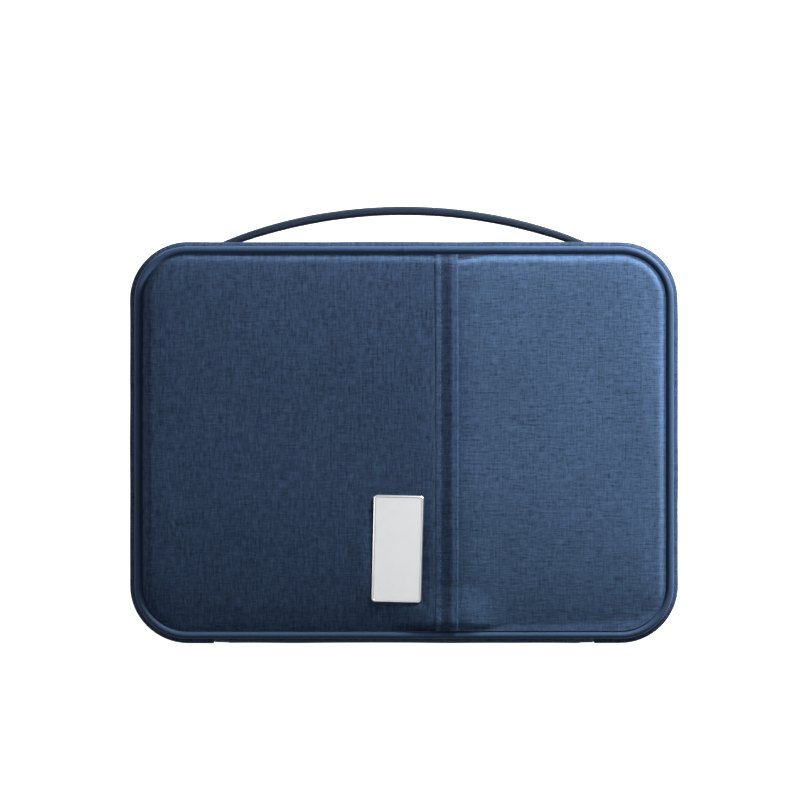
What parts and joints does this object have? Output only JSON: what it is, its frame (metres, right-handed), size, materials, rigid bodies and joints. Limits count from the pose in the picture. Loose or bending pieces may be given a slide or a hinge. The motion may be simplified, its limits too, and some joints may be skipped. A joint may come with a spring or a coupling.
{
  "type": "travel document organizer",
  "caption": "Padded zip-round document organizer with piped edges, a carry strap, a front pocket under a cover strip and a blank metal plate.",
  "frame": {"origin": "middle of the back cover's flat resting face", "axes": "+Z out of the front cover, +Y towards the carry handle, +X along the spine with the front pocket on the +X side"},
  "size_m": [0.34, 0.2709, 0.04],
  "materials": {
    "navy_oxford": "heathered woven polyester, matt",
    "piping_cloth": "smooth tightly woven cloth over cord, slight sheen",
    "webbing": "ribbed dark navy webbing",
    "lining": "plain dark lining cloth",
    "pocket_cloth": "plain dark pocket cloth",
    "mesh": "open dark netting",
    "zip_tape": "herringbone zip tape",
    "zip_coil": "nylon coil, satin",
    "foam": "closed cell foam, matt",
    "board": "grey board, matt",
    "satin_steel": "fine brushed, satin, bright bevelled rim",
    "zip_metal": "dark plated, satin"
  },
  "bodies": {
    "back_cover": {"back_panel": "navy_oxford", "back_stiffener": "board", "back_lining": "lining", "back_piping": "piping_cloth", "back_gusset": "navy_oxford", "zipper_tape_back": "zip_tape", "zipper_coil_back": "zip_coil", "zipper_stop_left": "zip_metal", "zipper_stop_right": "zip_metal", "handle_end_left": "webbing", "handle_end_right": "webbing", "document_pocket": "pocket_cloth", "passport_pocket": "pocket_cloth", "card_slot_1": "pocket_cloth", "card_slot_2": "pocket_cloth", "card_slot_3": "pocket_cloth", "card_slot_4": "pocket_cloth", "pen_loop_1": "webbing", "pen_loop_2": "webbing"},
    "spine": {"spine_strip": "navy_oxford"},
    "divider": {"divider_leaf": "lining", "divider_pocket": "pocket_cloth", "divider_hinge_tape": "lining"},
    "front_cover": {"front_panel_left": "navy_oxford", "front_pocket_panel": "navy_oxford", "pocket_lining": "pocket_cloth", "front_padding": "foam", "front_stiffener": "board", "front_lining": "lining", "front_piping": "piping_cloth", "front_gusset": "navy_oxford", "zipper_tape_front": "zip_tape", "zipper_coil_front": "zip_coil", "metal_plate": "satin_steel", "pocket_zip_tape_left": "zip_tape", "pocket_zip_tape_right": "zip_tape", "pocket_zip_coil": "zip_coil", "mesh_pocket": "mesh", "mesh_zip_tape": "zip_tape", "mesh_zip_coil": "zip_coil"},
    "placket": {"pocket_placket": "navy_oxford"},
    "pocket_slider": {"pocket_zip_slider": "zip_metal", "pocket_zip_pull": "zip_metal"},
    "mesh_slider": {"mesh_zip_slider": "zip_metal", "mesh_zip_pull": "zip_metal"},
    "slider_left": {"zipper_slider_left": "zip_metal"},
    "slider_right": {"zipper_slider_right": "zip_metal"},
    "pull_left": {"zipper_pull_left": "zip_metal"},
    "pull_right": {"zipper_pull_right": "zip_metal"},
    "handle": {"handle_strap": "webbing"}
  },
  "joints": [
    {"name": "spine_fold", "type": "hinge", "parent": "back_cover", "child": "spine", "pos_m": [0, -0.1199, 0.0055], "axis": [1, 0, 0], "range_deg": [0, 89]},
    {"name": "cover_fold", "type": "hinge", "parent": "spine", "child": "front_cover", "pos_m": [0, -0.1199, 0.0325], "axis": [1, 0, 0], "range_deg": [0, 89]},
    {"name": "divider_turn", "type": "hinge", "parent": "spine", "child": "divider", "pos_m": [0, -0.118, 0.0195], "axis": [1, 0, 0], "range_deg": [-22.5, 0]},
    {"name": "slider_left_slide", "type": "slide", "parent": "back_cover", "child": "slider_left", "axis": [-1, 0, 0], "range_m": [0, 0.115]},
    {"name": "slider_right_slide", "type": "slide", "parent": "back_cover", "child": "slider_right", "axis": [1, 0, 0], "range_m": [0, 0.115]},
    {"name": "pull_left_swing", "type": "hinge", "parent": "slider_left", "child": "pull_left", "pos_m": [-0.0046, 0.1239, 0.0229], "axis": [0, 0, -1], "range_deg": [0, 100]},
    {"name": "pull_right_swing", "type": "hinge", "parent": "slider_right", "child": "pull_right", "pos_m": [0.0046, 0.1239, 0.0229], "axis": [0, 0, 1], "range_deg": [0, 100]},
    {"name": "handle_flex", "type": "hinge", "parent": "back_cover", "child": "handle", "pos_m": [0, 0.1245, 0.0127], "axis": [1, 0, 0], "range_deg": [-20, 20], "stiffness_Nm_per_rad": 0.05},
    {"name": "placket_lift", "type": "hinge", "parent": "front_cover", "child": "placket", "pos_m": [0.0211, 0, 0.0381], "axis": [0, -1, 0], "range_deg": [0, 60], "stiffness_Nm_per_rad": 0.002},
    {"name": "pocket_slider_slide", "type": "slide", "parent": "front_cover", "child": "pocket_slider", "axis": [0, -1, 0], "range_m": [0, 0.18]},
    {"name": "mesh_slider_slide", "type": "slide", "parent": "front_cover", "child": "mesh_slider", "axis": [1, 0, 0], "range_m": [0, 0.255]}
  ],
  "couplings": [
    {"joint": "cover_fold", "follows": "spine_fold", "ratio": 1},
    {"joint": "divider_turn", "follows": "spine_fold", "ratio": -0.25}
  ]
}
